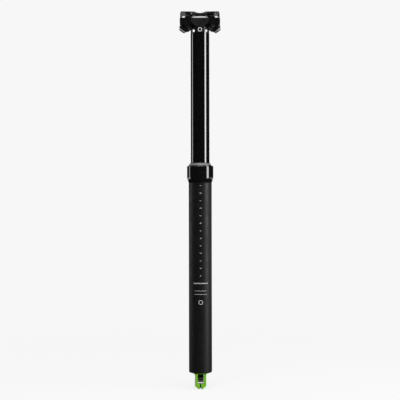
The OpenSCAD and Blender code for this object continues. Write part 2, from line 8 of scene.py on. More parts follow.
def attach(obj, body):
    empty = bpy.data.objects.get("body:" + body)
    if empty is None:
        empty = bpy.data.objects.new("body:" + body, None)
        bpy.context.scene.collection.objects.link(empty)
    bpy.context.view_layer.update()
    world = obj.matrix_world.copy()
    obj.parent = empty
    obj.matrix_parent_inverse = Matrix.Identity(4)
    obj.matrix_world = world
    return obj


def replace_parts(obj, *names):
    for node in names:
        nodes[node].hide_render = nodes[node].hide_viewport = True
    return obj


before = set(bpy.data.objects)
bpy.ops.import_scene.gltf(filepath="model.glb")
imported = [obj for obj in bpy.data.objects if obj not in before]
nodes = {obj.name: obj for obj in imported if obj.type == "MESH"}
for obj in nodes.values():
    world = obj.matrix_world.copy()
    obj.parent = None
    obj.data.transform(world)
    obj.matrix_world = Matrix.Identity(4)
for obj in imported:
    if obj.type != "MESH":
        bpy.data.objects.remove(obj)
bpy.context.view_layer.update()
scene = bpy.context.scene
MM = 0.001

# Levels and radii of the part, in millimetres, as in its source. Other sizes are in millimetres
# too, apart from those of the stage, which are in metres.
TUBE_R = 15.45
STANCHION_R = 12.5
POST_END = -254.0
POST_TOP = 200.7
NECK_R = 12.3
TILT_Z = 210.9


# Shader helpers

def wire(tree, source, target):
    tree.links.new(source, target)


def feed(tree, value, target):
    """Gives a socket a plain number, or links another socket to it."""
    if isinstance(value, (int, float)):
        target.default_value = value
    else:
        wire(tree, value, target)


def maths(tree, operation, a, b, clamp=False):
    node = tree.nodes.new("ShaderNodeMath")
    node.operation = operation
    node.use_clamp = clamp
    feed(tree, a, node.inputs[0])
    feed(tree, b, node.inputs[1])
    return node.outputs[0]


def spread(tree, value, low, high, to_low=0.0, to_high=1.0):
    """Stretches one range of values onto another, and holds it at both ends."""
    node = tree.nodes.new("ShaderNodeMapRange")
    wire(tree, value, node.inputs["Value"])
    for key, number in (("From Min", low), ("From Max", high), ("To Min", to_low), ("To Max", to_high)):
        node.inputs[key].default_value = number
    return node.outputs["Result"]


def noise(tree, vector, scale, detail, roughness=0.5):
    node = tree.nodes.new("ShaderNodeTexNoise")
    wire(tree, vector, node.inputs["Vector"])
    feed(tree, scale, node.inputs["Scale"])
    node.inputs["Detail"].default_value = detail
    node.inputs["Roughness"].default_value = roughness
    return node.outputs["Fac"]


def scale_for(tree, size):
    """The scale of a pattern whose grains have a size in millimetres."""
    return maths(tree, "DIVIDE", 1 / MM, size)


def stretched(tree, vector, scale):
    node = tree.nodes.new("ShaderNodeMapping")
    wire(tree, vector, node.inputs["Vector"])
    node.inputs["Scale"].default_value = scale
    return node.outputs["Vector"]


def object_place(tree):
    return tree.nodes.new("ShaderNodeTexCoord").outputs["Object"]


def surface_normal(tree):
    return tree.nodes.new("ShaderNodeNewGeometry").outputs["Normal"]


def group(name, inputs, outputs):
    """A shader node group with named values in and out."""
    tree = bpy.data.node_groups.new(name, "ShaderNodeTree")
    for label, default in inputs:
        socket = tree.interface.new_socket(label, in_out="INPUT", socket_type="NodeSocketFloat")
        socket.default_value = default
    for label in outputs:
        tree.interface.new_socket(label, in_out="OUTPUT", socket_type="NodeSocketFloat")
    return tree, tree.nodes.new("NodeGroupInput").outputs, tree.nodes.new("NodeGroupOutput").inputs


def make_blast_grain():
    """The fine pebbled skin of blasted and anodised alloy, and soft clouds of tone."""
    inputs = [("Grain Size", 0.16), ("Cloud Size", 9.0)]
    tree, given, out = group("blast_grain", inputs, ["Height", "Cloud"])
    place = object_place(tree)
    pebbles = tree.nodes.new("ShaderNodeTexVoronoi")
    wire(tree, place, pebbles.inputs["Vector"])
    wire(tree, scale_for(tree, given["Grain Size"]), pebbles.inputs["Scale"])
    cloud = noise(tree, place, scale_for(tree, given["Cloud Size"]), detail=4.0)
    wire(tree, pebbles.outputs["Distance"], out["Height"])
    wire(tree, cloud, out["Cloud"])
    return tree


def make_edge_wear():
    """Where rounded edges have been rubbed, broken up so that no edge is worn all along."""
    inputs = [("Reach", 0.4), ("Patchiness", 0.5), ("Amount", 1.0)]
    tree, given, out = group("edge_wear", inputs, ["Mask"])
    soft = tree.nodes.new("ShaderNodeBevel")
    soft.samples = 4
    wire(tree, maths(tree, "MULTIPLY", given["Reach"], MM), soft.inputs["Radius"])
    facing = tree.nodes.new("ShaderNodeVectorMath")
    facing.operation = "DOT_PRODUCT"
    wire(tree, soft.outputs["Normal"], facing.inputs[0])
    wire(tree, surface_normal(tree), facing.inputs[1])
    edge = spread(tree, facing.outputs["Value"], low=0.995, high=0.90)
    patch = noise(tree, object_place(tree), scale=420.0, detail=4.0, roughness=0.55)
    spared = maths(tree, "MULTIPLY", patch, given["Patchiness"])
    broken = maths(tree, "SUBTRACT", edge, spared, clamp=True)
    wire(tree, maths(tree, "MULTIPLY", broken, given["Amount"], clamp=True), out["Mask"])
    return tree


def make_lathe_lines():
    """Faint rings left by turning, round the post's own axis."""
    tree, given, out = group("lathe_lines", [("Pitch", 0.3)], ["Height"])
    drawn_out = stretched(tree, object_place(tree), (0.02, 0.02, 1.0))
    rings = noise(tree, drawn_out, scale_for(tree, given["Pitch"]), detail=2.0)
    wire(tree, rings, out["Height"])
    return tree


def make_handling():
    """Smears and settled dust of an object that has been handled a little."""
    tree, given, out = group("handling", [("Smear", 0.5), ("Dust", 0.3)], ["Smear", "Dust"])
    place = object_place(tree)
    wipes = noise(tree, stretched(tree, place, (1.0, 1.0, 0.35)), scale=70.0, detail=5.0, roughness=0.55)
    smear = spread(tree, wipes, low=0.48, high=0.72)
    wire(tree, maths(tree, "MULTIPLY", smear, given["Smear"]), out["Smear"])
    parts = tree.nodes.new("ShaderNodeSeparateXYZ")
    wire(tree, surface_normal(tree), parts.inputs[0])
    lying = spread(tree, parts.outputs["Z"], low=0.35, high=1.0)
    speck = spread(tree, noise(tree, place, scale=900.0, detail=4.0, roughness=0.7), low=0.5, high=0.75)
    settled = maths(tree, "MULTIPLY", lying, speck)
    wire(tree, maths(tree, "MULTIPLY", settled, given["Dust"], clamp=True), out["Dust"])
    return tree


BLAST_GRAIN = make_blast_grain()
EDGE_WEAR = make_edge_wear()
LATHE_LINES = make_lathe_lines()
HANDLING = make_handling()


def place_group(tree, kind, **values):
    node = tree.nodes.new("ShaderNodeGroup")
    node.node_tree = kind
    for key, value in values.items():
        node.inputs[key.replace("_", " ")].default_value = value
    return node


def shade(tree, mask, low, high):
    """Two colours mixed by a mask, each a plain colour or a socket."""
    node = tree.nodes.new("ShaderNodeMix")
    node.data_type = "RGBA"
    wire(tree, mask, node.inputs["Factor"])
    for socket, value in ((node.inputs[6], low), (node.inputs[7], high)):
        if isinstance(value, tuple):
            socket.default_value = (*value, 1.0)
        else:
            wire(tree, value, socket)
    return node.outputs[2]


def raise_skin(tree, shader, height, depth):
    """Gives a finish a fine relief, its depth in millimetres."""
    bump = tree.nodes.new("ShaderNodeBump")
    bump.inputs["Strength"].default_value = 1.0
    bump.inputs["Distance"].default_value = depth * MM
    wire(tree, height, bump.inputs["Height"])
    wire(tree, bump.outputs["Normal"], shader.inputs["Normal"])


DUST_COLOUR = (0.32, 0.31, 0.29)
DUST_ROUGHENS = 0.4
SMEAR_ROUGHENS = 0.12
ROUGH_LOW = 0.88
ROUGH_HIGH = 1.12


def finish(name, colour, rough, metal=0.0, cloud=0.35, wear=None, wear_reach=0.4, wear_amount=0.6,
           grain=None, grain_depth=0.01, lathe=None, lathe_depth=0.004, dust=0.1, smear=0.3,
           **constants):
    """A metal, coated or moulded finish: cloudy colour, worn edges, a fine skin, smears and dust."""
    material = bpy.data.materials.new(name)
    material.use_nodes = True
    tree = material.node_tree
    shader = tree.nodes["Principled BSDF"]
    shader.inputs["Metallic"].default_value = metal
    for key, value in constants.items():
        shader.inputs[key.replace("_", " ")].default_value = value
    skin = place_group(tree, BLAST_GRAIN)
    touch = place_group(tree, HANDLING, Smear=smear, Dust=dust)
    darker = tuple(c * (1 - cloud) for c in colour)
    lighter = tuple(min(1.0, c * (1 + cloud)) for c in colour)
    tint = shade(tree, skin.outputs["Cloud"], darker, lighter)
    if wear:
        rub = place_group(tree, EDGE_WEAR, Reach=wear_reach, Amount=wear_amount)
        tint = shade(tree, rub.outputs["Mask"], tint, wear)
    tint = shade(tree, touch.outputs["Dust"], tint, DUST_COLOUR)
    wire(tree, tint, shader.inputs["Base Color"])
    roughness = spread(tree, skin.outputs["Cloud"], low=0.3, high=0.7,
                       to_low=rough * ROUGH_LOW, to_high=rough * ROUGH_HIGH)
    smeared = maths(tree, "MULTIPLY", touch.outputs["Smear"], SMEAR_ROUGHENS)
    dusted = maths(tree, "MULTIPLY", touch.outputs["Dust"], DUST_ROUGHENS)
    roughness = maths(tree, "ADD", roughness, smeared)
    roughness = maths(tree, "ADD", roughness, dusted, clamp=True)
    wire(tree, roughness, shader.inputs["Roughness"])
    if grain:
        skin.inputs["Grain Size"].default_value = grain
        raise_skin(tree, shader, skin.outputs["Height"], grain_depth)
    if lathe:
        rings = place_group(tree, LATHE_LINES, Pitch=lathe)
        raise_skin(tree, shader, rings.outputs["Height"], lathe_depth)
    return material


# Blacks

matt_black = finish("matt_black_anodised", (0.005, 0.005, 0.0054), 0.48, cloud=0.15,
                    grain=0.14, grain_depth=0.006, dust=0.03, smear=0.15, Specular_IOR_Level=0.38)
gloss_black = finish("gloss_black_anodised", (0.003, 0.003, 0.0035), 0.09, cloud=0.2,
                     lathe=0.35, lathe_depth=0.0006, dust=0.02, smear=0.15,
                     Coat_Weight=1.0, Coat_Roughness=0.04, Specular_IOR_Level=0.6)
collar_black = finish("collar_gloss_black", (0.004, 0.004, 0.0045), 0.10, cloud=0.2,
                      wear=(0.05, 0.05, 0.055), wear_reach=0.35, wear_amount=0.5,
                      lathe=0.25, lathe_depth=0.0006, dust=0.03, smear=0.2,
                      Coat_Weight=0.5, Coat_Roughness=0.06, Specular_IOR_Level=0.55)
forged_black = finish("forged_satin_black", (0.006, 0.006, 0.0065), 0.22, cloud=0.3,
                      wear=(0.06, 0.06, 0.065), wear_reach=0.3, wear_amount=0.5,
                      grain=0.18, grain_depth=0.004, dust=0.04, smear=0.3, Specular_IOR_Level=0.45)
crest_black = finish("crest_polished_black", (0.008, 0.008, 0.0085), 0.16, cloud=0.2,
                     dust=0.02, smear=0.2, Specular_IOR_Level=1.0)
arm_black = finish("arm_as_forged_black", (0.013, 0.013, 0.0135), 0.5, cloud=0.25,
                   grain=0.2, grain_depth=0.006, dust=0.02, smear=0.2, Specular_IOR_Level=0.06)
# As-forged web, its underside and sides painted lighter to stand in for light thrown up from below.
web_forged_painted_light = finish("web_as_forged_painted_light", (0.022, 0.022, 0.023), 0.5, cloud=0.25,
                   grain=0.2, grain_depth=0.006, dust=0.02, smear=0.2, Specular_IOR_Level=0.15)
# Painted light: a light grey for the arms' roots where they face down, standing in for light thrown up
# from below.
root_painted_light = finish("arm_root_painted_light", (0.06, 0.06, 0.061), 0.5, cloud=0.2,
                   grain=0.2, grain_depth=0.006, dust=0.02, smear=0.2, Specular_IOR_Level=0.2)
centre_black = finish("centre_satin_black", (0.0045, 0.0045, 0.005), 0.2, cloud=0.25,
                      grain=0.18, grain_depth=0.004, dust=0.03, smear=0.3, Specular_IOR_Level=0.3)
lever_black = finish("lever_black", (0.006, 0.006, 0.006), 0.36, cloud=0.2,
                     wear=(0.08, 0.08, 0.08), wear_reach=0.2, wear_amount=0.4,
                     dust=0.02, smear=0.2, Specular_IOR_Level=0.2)

# Alloys, steels and brass

# Painted highlight: the collar's lip cone in a light grey, standing in for the light from above on it.
lip_painted_highlight = finish("lip_painted_highlight", (0.17, 0.17, 0.175), 0.6, metal=0.2, cloud=0.1,
                   lathe=0.2, lathe_depth=0.001, dust=0.02, smear=0.2)
groove_alloy = finish("machined_groove", (0.55, 0.55, 0.56), 0.45, metal=0.4, cloud=0.15,
                      dust=0.03, smear=0.3)
plain_alloy = finish("plain_alloy", (0.62, 0.62, 0.63), 0.3, metal=1.0, cloud=0.1,
                     lathe=0.3, lathe_depth=0.0015, dust=0.03, smear=0.3)
green_anodised = finish("green_anodised", (0.18, 0.52, 0.012), 0.45, metal=0.25, cloud=0.12,
                        wear=(0.42, 0.62, 0.22), wear_reach=0.3, wear_amount=0.5,
                        grain=0.14, grain_depth=0.004, dust=0.03, smear=0.2)
plated_steel = finish("zinc_plated_steel", (0.52, 0.52, 0.50), 0.42, metal=0.5, cloud=0.15,
                      wear=(0.7, 0.7, 0.68), wear_reach=0.2, wear_amount=0.5, dust=0.05, smear=0.3)
dark_steel = finish("black_oxide_steel", (0.035, 0.034, 0.033), 0.32, metal=0.8, cloud=0.25,
                    wear=(0.42, 0.41, 0.39), wear_reach=0.2, wear_amount=0.7, dust=0.05, smear=0.3)
barrel_steel = finish("barrel_steel", (0.2, 0.2, 0.195), 0.4, metal=0.5, cloud=0.15,
                      wear=(0.4, 0.4, 0.38), wear_reach=0.2, wear_amount=0.5, dust=0.05, smear=0.3)
bright_steel = finish("bright_steel", (0.56, 0.56, 0.55), 0.24, metal=1.0, cloud=0.12,
                      wear=(0.8, 0.8, 0.78), wear_reach=0.2, wear_amount=0.5,
                      lathe=0.2, lathe_depth=0.001, dust=0.05, smear=0.4)
guide_brass = finish("guide_brass", (0.56, 0.39, 0.12), 0.3, metal=1.0, cloud=0.15, dust=0.03, smear=0.4)

# Disc, rubber, polymer and print

disc_grey = finish("disc_grey", (0.62, 0.62, 0.63), 0.45, cloud=0.1, dust=0.02, smear=0.2)
disc_dark = finish("disc_dark", (0.03, 0.03, 0.032), 0.4, cloud=0.2, dust=0.02, smear=0.2)
seal_rubber = finish("seal_rubber", (0.012, 0.012, 0.012), 0.58, cloud=0.25,
                     grain=0.2, grain_depth=0.006, dust=0.12, smear=0.3)
bush_polymer = finish("bush_polymer", (0.045, 0.047, 0.05), 0.5, cloud=0.2,
                      grain=0.3, grain_depth=0.004, dust=0.05, smear=0.2)
white_print = finish("white_print", (0.62, 0.62, 0.60), 0.5, cloud=0.12,
                     grain=0.14, grain_depth=0.004, dust=0.0, smear=0.0)

SLOT_FINISH = {
    "matt_black": matt_black, "gloss_black": gloss_black, "forged_black": forged_black,
    "green": green_anodised, "alloy": plain_alloy, "steel": bright_steel, "brass": guide_brass,
    "rubber": seal_rubber, "polymer": bush_polymer,
}
OWN_FINISH = {"clamp_washers": dark_steel, "thread_bushes": plated_steel, "cable_barrel": barrel_steel}

for node in nodes.values():
    for place in node.material_slots:
        place.material = SLOT_FINISH[place.material.name.split(".")[0]]
for name, material in OWN_FINISH.items():
    for place in nodes[name].material_slots:
        place.material = material


# Mesh helpers

MERGE = 1e-7
ROUND_STEPS = 5
TURN_STEPS = 144


def new_object(name, bm, *materials):
    """Makes an object of a mesh, with its finishes in order."""
    mesh = bpy.data.meshes.new(name)
    bm.to_mesh(mesh)
    bm.free()
    for material in materials:
        mesh.materials.append(material)
    thing = bpy.data.objects.new(name, mesh)
    scene.collection.objects.link(thing)
    return thing


def settle(name, bm, body, slot, *materials, sharp=32.0):
    """Closes a mesh, turns its faces outwards, and makes it a piece that rides on a body."""
    bmesh.ops.remove_doubles(bm, verts=bm.verts, dist=MERGE)
    bmesh.ops.recalc_face_normals(bm, faces=bm.faces)
    for face in bm.faces:
        face.smooth = True
    for edge in bm.edges:
        if len(edge.link_faces) == 2:
            edge.smooth = edge.calc_face_angle() < math.radians(sharp)
    piece = new_object(name, bm, *materials)
    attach(piece, body)
    return piece


def profile_wire(bm, points, rounds=(), closed=True):
    """A cross-section of radius and height, with some of its corners rounded."""
    verts = [bm.verts.new((x * MM, 0, z * MM)) for x, z in points]
    ends = verts[1:] + verts[:1] if closed else verts[1:]
    for a, b in zip(verts, ends):
        bm.edges.new((a, b))
    for index, radius in rounds:
        bmesh.ops.bevel(bm, geom=[verts[index]], offset=radius * MM, offset_type="OFFSET",
                        affect="VERTICES", segments=ROUND_STEPS, profile=0.5, material=-1)


def turn(bm, steps=TURN_STEPS):
    """Turns a cross-section once round the upright axis."""
    bmesh.ops.spin(bm, geom=bm.verts[:] + bm.edges[:], cent=(0, 0, 0), axis=(0, 0, 1),
                   angle=2 * math.pi, steps=steps, use_merge=True)


def verts_in(geom):
    return [part for part in geom if isinstance(part, bmesh.types.BMVert)]


def cut_at(bm, x):
    """Cuts a mesh across at a place along X, and keeps both sides."""
    bmesh.ops.bisect_plane(bm, geom=bm.verts[:] + bm.edges[:] + bm.faces[:],
                           plane_co=(x * MM, 0, 0), plane_no=(1, 0, 0))


# Collar and its wiper, turned with the small rounds that the plain solids leave off

COLLAR_R = 17.59
COLLAR_TOP = 22.6
COLLAR_BORE_R = 14.82
TAPER_HEIGHT = 8.0
TAPER_R = (TAPER_HEIGHT ** 2 + (COLLAR_R - TUBE_R) ** 2) / (2 * (COLLAR_R - TUBE_R))
TAPER_STEPS = 14
LIP_R = 15.25
LIP_FOOT = 23.4
LIP_TOP = 25.8
LIP_LAND = 0.1
SHOULDER_ROUND = 0.9
LIP_ROUND = 0.3
FOOT_ROUND = 0.12
WIPER_R = 13.7
WIPER_TOP = 26.8
WIPER_SEAT = 19.6
WIPER_PLAY = 0.03
WIPER_BORE_R = STANCHION_R + 0.5
SCRAPER_R = STANCHION_R + 0.06
SCRAPER_OUT_R = STANCHION_R + 0.45
SCRAPER_HEIGHT = 0.6
SCRAPER_ROUND = 0.12
WIPER_ROUND = 0.15
FOAM_R = STANCHION_R + 0.6
FOAM_TOP = 18.6


def taper_points():
    """The collar's curved foot, from the tube out to its full width."""
    for step in range(TAPER_STEPS + 1):
        height = TAPER_HEIGHT * step / TAPER_STEPS
        yield COLLAR_R - TAPER_R + math.sqrt(TAPER_R ** 2 - (TAPER_HEIGHT - height) ** 2), height


def collar_shell():
    bm = bmesh.new()
    foot = list(taper_points())
    shoulder = len(foot)
    points = foot + [(COLLAR_R, COLLAR_TOP), (LIP_R, COLLAR_TOP), (LIP_R, LIP_FOOT),
                     (WIPER_R + LIP_LAND, LIP_TOP), (WIPER_R, LIP_TOP), (WIPER_R, WIPER_SEAT),
                     (FOAM_R, WIPER_SEAT), (FOAM_R, FOAM_TOP),
                     (COLLAR_BORE_R, FOAM_TOP), (COLLAR_BORE_R, 0)]
    rounds = ((shoulder, SHOULDER_ROUND), (shoulder + 1, LIP_ROUND), (shoulder + 2, LIP_ROUND),
              (0, FOOT_ROUND))
    profile_wire(bm, points, rounds)
    turn(bm)
    # The lip's cone takes the light grey of the painted highlight.
    for face in bm.faces:
        middle = face.calc_center_median() / MM
        face.material_index = int(LIP_FOOT < middle.z < LIP_TOP and middle.xy.length > WIPER_R)
    return settle("collar_shell", bm, "lower", "gloss_black", collar_black, lip_painted_highlight)


def wiper_lip():
    """The rubber lip that strips dirt off the stanchion, with a thin scraping edge."""
    bm = bmesh.new()
    outer = WIPER_R - WIPER_PLAY
    points = [(WIPER_BORE_R, WIPER_SEAT), (outer, WIPER_SEAT), (outer, LIP_TOP - 0.15),
              (WIPER_R - 0.35, LIP_TOP + 0.1), (SCRAPER_OUT_R, WIPER_TOP), (SCRAPER_R, WIPER_TOP),
              (SCRAPER_R, WIPER_TOP - SCRAPER_HEIGHT), (WIPER_BORE_R, LIP_TOP - 0.8)]
    profile_wire(bm, points, rounds=((4, SCRAPER_ROUND), (5, SCRAPER_ROUND), (3, WIPER_ROUND)))
    turn(bm)
    return settle("wiper_lip", bm, "lower", "rubber", seal_rubber)


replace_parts(collar_shell(), "collar")
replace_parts(wiper_lip(), "wiper_seal")


# Clamp bolts with their threads, chamfered heads and hexagon sockets, drawn about their own axis

BOLT_OFFSET = 19.0
BOLT_LEAN = math.radians(35)
BOLT_R = 3.0
BOLT_TIP = 22.4
BOLT_STEPS = 48
BRIGHT_TIP = 1.2
HEAD_R = 5.0
HEAD_START = -6.5
HEAD_BAND = -7.6
HEAD_RIM = -8.9
HEAD_END = -9.7
HEAD_STEP = 0.15
RIM_CHAMFER = 0.2
FACE_R = 4.1
FACE_CHAMFER = 0.1
THREAD_PITCH = 1.0
THREAD_DEPTH = 0.5
THREAD_START = 9.0
THREAD_END = BOLT_TIP - 0.3
THREAD_LEVELS = 8
THREAD_FLAT = 0.06
THREAD_FLANK = 0.38
RUN_IN = 1.5
RUN_OUT = 0.5
SOCKET_R = 2.8
SOCKET_DEPTH = 1.8
SOCKET_POINT = 0.5


def held(value):
    """A share, held between none and all."""
    return min(1.0, max(0.0, value))


def thread_cut(height, angle):
    """How far the thread lies below the bolt's full radius, running out at both its ends."""
    along = (height / THREAD_PITCH - angle / (2 * math.pi)) % 1.0
    depth = held((abs(along - 0.5) - THREAD_FLAT) / THREAD_FLANK)
    fade = min(held((height - THREAD_START) / RUN_IN), held((BOLT_TIP - height) / RUN_OUT))
    return THREAD_DEPTH * depth * fade


def hexagon_socket(bm):
    """Closes the head's face round a six-sided socket with a drilled floor."""
    rim = [edge for edge in bm.edges if edge.is_boundary]
    corners = []
    for corner in range(6):
        angle = corner * math.pi / 3
        x = SOCKET_R * MM * math.cos(angle)
        y = SOCKET_R * MM * math.sin(angle)
        corners.append(bm.verts.new((x, y, HEAD_END * MM)))
    mouth = [bm.edges.new((a, b)) for a, b in zip(corners, corners[1:] + corners[:1])]
    bmesh.ops.triangle_fill(bm, edges=rim + mouth, use_beauty=True)
    sunk = bmesh.ops.extrude_edge_only(bm, edges=mouth)["geom"]
    floor_verts = verts_in(sunk)
    floor_edges = [part for part in sunk if isinstance(part, bmesh.types.BMEdge)
                   and all(vert in floor_verts for vert in part.verts)]
    bmesh.ops.translate(bm, verts=floor_verts, vec=(0, 0, SOCKET_DEPTH * MM))
    point = verts_in(bmesh.ops.extrude_edge_only(bm, edges=floor_edges)["geom"])
    bottom = HEAD_END + SOCKET_DEPTH + SOCKET_POINT
    bmesh.ops.pointmerge(bm, verts=point, merge_co=(0, 0, bottom * MM))


def bolt_profile():
    """The bolt from the edge of its socket's face to the middle of its tip."""
    points = [(FACE_R - FACE_CHAMFER, HEAD_END), (FACE_R, HEAD_END + FACE_CHAMFER), (FACE_R, HEAD_RIM),
              (HEAD_R - RIM_CHAMFER, HEAD_RIM), (HEAD_R, HEAD_RIM + RIM_CHAMFER), (HEAD_R, HEAD_BAND),
              (HEAD_R - HEAD_STEP, HEAD_BAND + HEAD_STEP), (HEAD_R - HEAD_STEP, HEAD_START),
              (BOLT_R, HEAD_START)]
    height = THREAD_START
    while height < THREAD_END:
        points.append((BOLT_R, height))
        height += THREAD_PITCH / THREAD_LEVELS
    return points + [(BOLT_R - 0.1, BOLT_TIP - 0.25), (BOLT_R - 0.6, BOLT_TIP), (0, BOLT_TIP)]


def clamp_bolt(side):
    """A bolt drawn upright about its own axis, then leaned into its arm of the head."""
    bm = bmesh.new()
    profile_wire(bm, bolt_profile(), closed=False)
    turn(bm, BOLT_STEPS)
    bmesh.ops.remove_doubles(bm, verts=bm.verts, dist=MERGE)
    for vert in bm.verts:
        level = vert.co.z / MM
        if THREAD_START < level < BOLT_TIP - 0.1:
            flat = Vector((vert.co.x, vert.co.y))
            radius = flat.length / MM - thread_cut(level, math.atan2(vert.co.y, vert.co.x))
            vert.co.x, vert.co.y = flat.normalized() * radius * MM
    hexagon_socket(bm)
    for face in bm.faces:
        level = face.calc_center_median().z / MM
        face.material_index = int(HEAD_RIM < level < HEAD_BAND or level > BOLT_TIP - BRIGHT_TIP)
    lean = Matrix.Translation((side * BOLT_OFFSET * MM, 0, TILT_Z * MM))
    lean = lean @ Matrix.Rotation(-side * BOLT_LEAN, 4, "Y")
    bmesh.ops.transform(bm, matrix=lean, verts=bm.verts)
    name = "clamp_bolt_right" if side > 0 else "clamp_bolt_left"
    return settle(name, bm, "saddle_clamp", "steel", dark_steel, plated_steel, sharp=40.0)


for side in (-1, 1):
    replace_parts(clamp_bolt(side), "clamp_bolts")


# Forged and milled pieces with their sharp edges broken

YOKE_TIP = -273.6
RAIL_X = 22.0
RAIL_Z = 222.7
RAIL_R = 3.5
ARM_START = 12.6
ROOT_START = 11.4
WINDOW_X = 8.3
WINDOW_R = 1.4
WINDOW_LOW = 201.1
WINDOW_HIGH = 207.1
WAIST_X = 13.6
WEB_Y = 5.8
CENTRE_LOW = 209.0
GROOVE_SLACK = 0.06
WINDOW_SLACK = 0.05
SQUARE_ON = 0.9
SOLID_MERGE = 2e-6
FLAT_ANGLE = math.radians(0.5)


def in_groove(normal, middle):
    """Where the saddle's rails lie, left bare by the cutter."""
    off_axis = math.hypot(abs(middle.x) - RAIL_X, middle.z - RAIL_Z)
    return abs(normal.y) < 0.3 and off_axis < RAIL_R + GROOVE_SLACK


def on_arm(normal, middle):
    """The head's arms and the walls of its two windows, left as they were forged."""
    beside = abs(abs(middle.x) - WINDOW_X) < WINDOW_R + WINDOW_SLACK
    in_window = beside and WINDOW_LOW - WINDOW_SLACK < middle.z < WINDOW_HIGH + WINDOW_SLACK
    return abs(middle.x) > ARM_START or (in_window and abs(normal.y) < 0.1)


def on_root(normal, middle):
    """The lower sides of the arms' roots, which look in at the post, painted light grey as light thrown
    up from below.
    """
    return abs(middle.x) > ROOT_START and normal.x * middle.x < 0 and normal.z < -0.42


def on_web(normal, middle):
    """The underside and sides of the thin web that joins the upper clamp's wings, whose as-forged finish
    is painted lighter as light thrown up from below.
    """
    in_web = abs(middle.x) < WAIST_X and abs(middle.y) < WEB_Y
    return in_web and (normal.z < -SQUARE_ON or abs(normal.y) > SQUARE_ON)


def on_centre(normal, middle):
    """The flat front and back of the head's T-shaped centre."""
    return abs(normal.y) > SQUARE_ON and abs(middle.x) < ARM_START and middle.z > CENTRE_LOW


def mark_edges(bm, angle, knife_level):
    """Marks the edges to round: the sharp ones, but not the knife edges below a level."""
    weight = bm.edges.layers.float.new("bevel_weight_edge")
    for edge in bm.edges:
        if len(edge.link_faces) == 2 and max(vert.co.z for vert in edge.verts) > knife_level * MM:
            edge[weight] = float(edge.calc_face_angle() > math.radians(angle))


def broken_edges(node, name, body, width, slot, material, others=(), angle=35.0, knife_level=-math.inf):
    """A copy of a solid, merged, with a small round along its sharp edges. Others are pairs of a
    test and a finish: the faces that a test holds for take its finish."""
    bm = bmesh.new()
    bm.from_mesh(nodes[node].data)
    bmesh.ops.remove_doubles(bm, verts=bm.verts, dist=SOLID_MERGE)
    bmesh.ops.dissolve_limit(bm, angle_limit=FLAT_ANGLE, verts=bm.verts, edges=bm.edges,
                             delimit={"NORMAL"})
    mark_edges(bm, angle, knife_level)
    for face in bm.faces:
        middle = face.calc_center_median() / MM
        for index, (holds, other) in enumerate(others, start=1):
            if holds(face.normal, middle):
                face.material_index = index
    piece = settle(name, bm, body, slot, material, *(other for holds, other in others), sharp=angle)
    soft = piece.modifiers.new("broken_edges", "BEVEL")
    soft.width = width * MM
    soft.segments = 3
    soft.limit_method = "WEIGHT"
    soft.material = 0
    soft.use_clamp_overlap = False
    even = piece.modifiers.new("flat_faces_flat", "WEIGHTED_NORMAL")
    even.mode = "FACE_AREA"
    even.weight = 100
    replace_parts(piece, node)


broken_edges("upper_clamp", "rail_clamp_top", "saddle_clamp", 0.35, "forged_black", forged_black,
             others=((in_groove, groove_alloy), (on_web, web_forged_painted_light)))
for hand in ("left", "right"):
    broken_edges(hand + "_cradle", "rail_cradle_" + hand, "saddle_clamp", 0.32, "forged_black",
                 forged_black, others=((in_groove, groove_alloy),))
broken_edges("post_head", "forged_head", "upper", 0.3, "forged_black", forged_black,
             others=((on_arm, arm_black), (on_centre, centre_black), (on_root, root_painted_light)))
broken_edges("cable_yoke", "milled_yoke", "lower", 0.2, "green", green_anodised, knife_level=YOKE_TIP)
broken_edges("actuator_lever", "milled_lever", "lever", 0.12, "matt_black", lever_black)
broken_edges("cable_grub_screw", "grub_screw", "barrel", 0.2, "steel", dark_steel)


# Low ribs along the top of the head's centre, whose leaning faces catch the light from above

CREST_HALF = 11.7
CREST_FOOT = 220.0
CREST_BROW = 221.8
CREST_TOP = 222.4
CREST_FACE = 8.95
CREST_BACK = 6.7
CREST_LEAN = 1.4
CREST_BOW = 1.3
CREST_CROWN = 0.8
CREST_EDGE = 0.15
CREST_STEPS = 24


def crest_rib(side):
    """A rib on the front or back of the head's top, bowed and crowned so that its light fades."""
    bm = bmesh.new()
    brow_y = CREST_FACE - CREST_LEAN
    section = [(CREST_FACE, CREST_FOOT), (brow_y, CREST_BROW), (brow_y, CREST_TOP),
               (CREST_BACK, CREST_TOP), (CREST_BACK, CREST_FOOT)]
    end = bm.faces.new([bm.verts.new((-CREST_HALF * MM, side * y * MM, z * MM)) for y, z in section])
    far_end = verts_in(bmesh.ops.extrude_face_region(bm, geom=[end])["geom"])
    bmesh.ops.translate(bm, verts=far_end, vec=(2 * CREST_HALF * MM, 0, 0))
    bmesh.ops.recalc_face_normals(bm, faces=bm.faces)
    bmesh.ops.bevel(bm, geom=bm.edges[:], offset=CREST_EDGE * MM, offset_type="OFFSET", affect="EDGES",
                    segments=2, profile=0.5, material=-1)
    for step in range(1, CREST_STEPS):
        cut_at(bm, CREST_HALF * (2 * step / CREST_STEPS - 1))
    for vert in bm.verts:
        along = vert.co.x / (CREST_HALF * MM)
        depth = (abs(vert.co.y) / MM - CREST_BACK) / (CREST_FACE - CREST_BACK)
        rise = (vert.co.z / MM - CREST_FOOT) / (CREST_TOP - CREST_FOOT)
        vert.co.y -= side * CREST_BOW * MM * depth * along ** 2
        vert.co.z += CREST_CROWN * MM * rise * (1 - along ** 2)
    name = "crest_rib_back" if side > 0 else "crest_rib_front"
    settle(name, bm, "upper", "forged_black", crest_black)


for side in (-1, 1):
    crest_rib(side)


# Plain disc let into the neck

DISC_R = 2.8
DISC_HIGH = 0.34
DISC_LOW = 0.12
DISC_SLOPE = 0.15
DISC_BOSS_R = 0.8
DISC_RING_R = 2.15
DISC_DARK_R = 2.1
DISC_STEPS = 64
DISC_SEAT_Y = -(NECK_R - 0.5)
DISC_LEVEL = POST_TOP + 3.6


